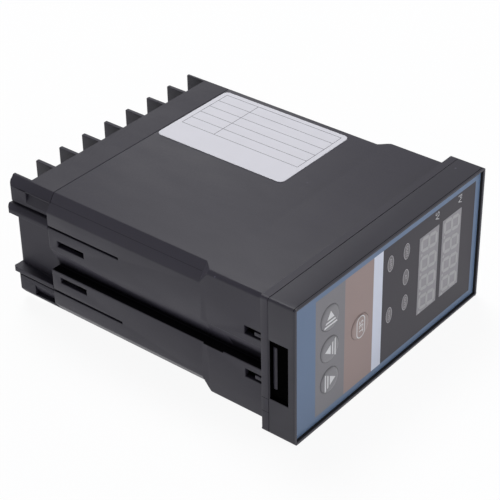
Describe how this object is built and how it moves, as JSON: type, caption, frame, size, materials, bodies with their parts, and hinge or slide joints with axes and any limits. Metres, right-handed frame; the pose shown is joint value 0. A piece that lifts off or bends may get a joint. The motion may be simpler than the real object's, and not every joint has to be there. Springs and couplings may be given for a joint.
{
  "type": "pid temperature controller",
  "caption": "Panel-mounted temperature controller with a tall printed front, four soft keys, twin digit displays and a deep case with barrier terminals at the rear.",
  "frame": {"origin": "middle of the outline on the surface that the controller lies on", "axes": "+X towards the top of the fitted controller, -Y out of its front, +Z its left-hand side"},
  "size_m": [0.096, 0.1156, 0.048],
  "materials": {
    "case_plastic": "fine matte moulding",
    "block_plastic": "fine matte moulding",
    "bezel_plastic": "fine matte moulding",
    "label": "white paper label",
    "brass": "tin-plated brass",
    "plated_steel": "zinc plated",
    "screw_steel": "zinc plated",
    "overlay": "printed polyester film",
    "arrow_key": "printed polyester film",
    "set_key": "printed polyester film",
    "display": "unlit digits",
    "lamp": "unlit lamp",
    "board": "solder mask",
    "header_plastic": "moulded",
    "switch_steel": "tin plated",
    "plunger_plastic": "moulded",
    "ferrite": "sintered",
    "winding_tape": "yellow tape",
    "capacitor_box": "epoxy box",
    "relay_plastic": "moulded case",
    "capacitor_sleeve": "shrink sleeve",
    "fuse_plastic": "moulded",
    "varistor_coating": "epoxy coating",
    "chip_plastic": "moulded"
  },
  "bodies": {
    "housing": {"case": "case_plastic", "terminal_block": "block_plastic", "rating_label": "label", "terminal_contacts_low": "brass", "terminal_washers_low": "plated_steel", "terminal_screws_low": "screw_steel", "terminal_contacts_middle": "brass", "terminal_washers_middle": "plated_steel", "terminal_screws_middle": "screw_steel", "terminal_contacts_high": "brass", "terminal_washers_high": "plated_steel", "terminal_screws_high": "screw_steel"},
    "chassis": {"bezel": "bezel_plastic", "front_overlay": "overlay", "display_pv": "display", "display_sv": "display", "indicator_lamp_1": "lamp", "indicator_lamp_2": "lamp", "indicator_lamp_3": "lamp", "indicator_lamp_4": "lamp", "indicator_lamp_5": "lamp", "display_board": "board", "board_screws": "screw_steel", "power_board": "board", "control_board": "board", "option_board": "board", "power_header": "header_plastic", "control_header": "header_plastic", "option_header": "header_plastic", "tact_switch_shift": "switch_steel", "tact_switch_down": "switch_steel", "tact_switch_up": "switch_steel", "tact_switch_set": "switch_steel", "transformer_core": "ferrite", "transformer_bobbin": "winding_tape", "film_capacitor": "capacitor_box", "output_relay": "relay_plastic", "bulk_capacitor": "capacitor_sleeve", "fuse": "fuse_plastic", "varistor": "varistor_coating", "alarm_relay_1": "relay_plastic", "alarm_relay_2": "relay_plastic", "microcontroller": "chip_plastic", "input_amplifier": "chip_plastic", "filter_capacitor_1": "capacitor_sleeve", "filter_capacitor_2": "capacitor_sleeve", "filter_capacitor_3": "capacitor_sleeve"},
    "shift_key": {"key_shift": "arrow_key", "plunger_shift": "plunger_plastic"},
    "down_key": {"key_down": "arrow_key", "plunger_down": "plunger_plastic"},
    "up_key": {"key_up": "arrow_key", "plunger_up": "plunger_plastic"},
    "set_key": {"key_set": "set_key", "plunger_set": "plunger_plastic"}
  },
  "joints": [
    {"name": "chassis_draw_out", "type": "slide", "parent": "housing", "child": "chassis", "axis": [0, -1, 0], "range_m": [0, 0.088]},
    {"name": "shift_press", "type": "slide", "parent": "chassis", "child": "shift_key", "axis": [0, 1, 0], "range_m": [0, 0.0004], "stiffness_N_per_m": 3000},
    {"name": "down_press", "type": "slide", "parent": "chassis", "child": "down_key", "axis": [0, 1, 0], "range_m": [0, 0.0004], "stiffness_N_per_m": 3000},
    {"name": "up_press", "type": "slide", "parent": "chassis", "child": "up_key", "axis": [0, 1, 0], "range_m": [0, 0.0004], "stiffness_N_per_m": 3000},
    {"name": "set_press", "type": "slide", "parent": "chassis", "child": "set_key", "axis": [0, 1, 0], "range_m": [0, 0.0004], "stiffness_N_per_m": 3000}
  ]
}
